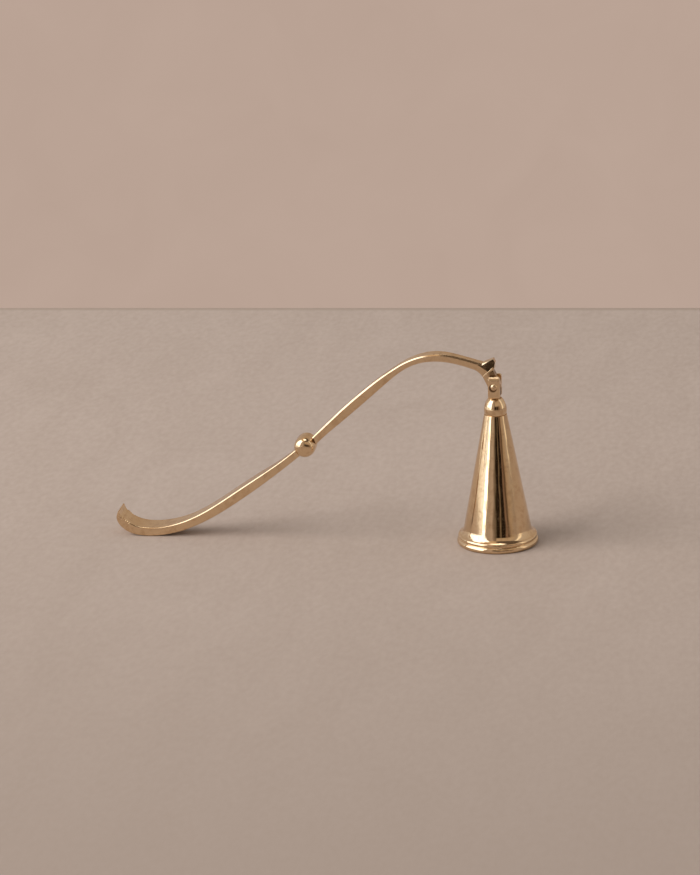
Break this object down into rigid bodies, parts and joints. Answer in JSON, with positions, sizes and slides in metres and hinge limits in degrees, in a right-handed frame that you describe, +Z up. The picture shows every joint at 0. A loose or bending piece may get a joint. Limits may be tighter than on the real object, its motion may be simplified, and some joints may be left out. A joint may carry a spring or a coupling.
{
  "type": "candle snuffer",
  "caption": "Hinged candle snuffer in polished brass: a small conical bell that swings on a cross pin at the end of an S-curved handle with a bead and a clawed thumb rest.",
  "frame": {"origin": "centre of the bell's mouth, on the table that the bell's foot and the curl of the handle both stand on", "axes": "+Z up along the bell's axis, the handle reaches back along -X, and the cross pin lies along Y"},
  "size_m": [0.1735, 0.033, 0.0794],
  "materials": {
    "polished_brass": "cast or spun and polished to a mirror, lacquered",
    "turned_brass": "as turned, not polished"
  },
  "bodies": {
    "handle": {"lower_arm": "polished_brass", "knop": "polished_brass", "handle_stud": "turned_brass", "upper_arm": "polished_brass"},
    "bell_swing": {"bell": "polished_brass", "cap": "polished_brass", "fork": "polished_brass", "pivot_pin": "polished_brass", "stem_nut": "turned_brass"}
  },
  "joints": [
    {"name": "bell_hinge", "type": "hinge", "parent": "handle", "child": "bell_swing", "pos_m": [0, 0, 0.0664], "axis": [0, -1, 0], "range_deg": [-57, 138]}
  ]
}
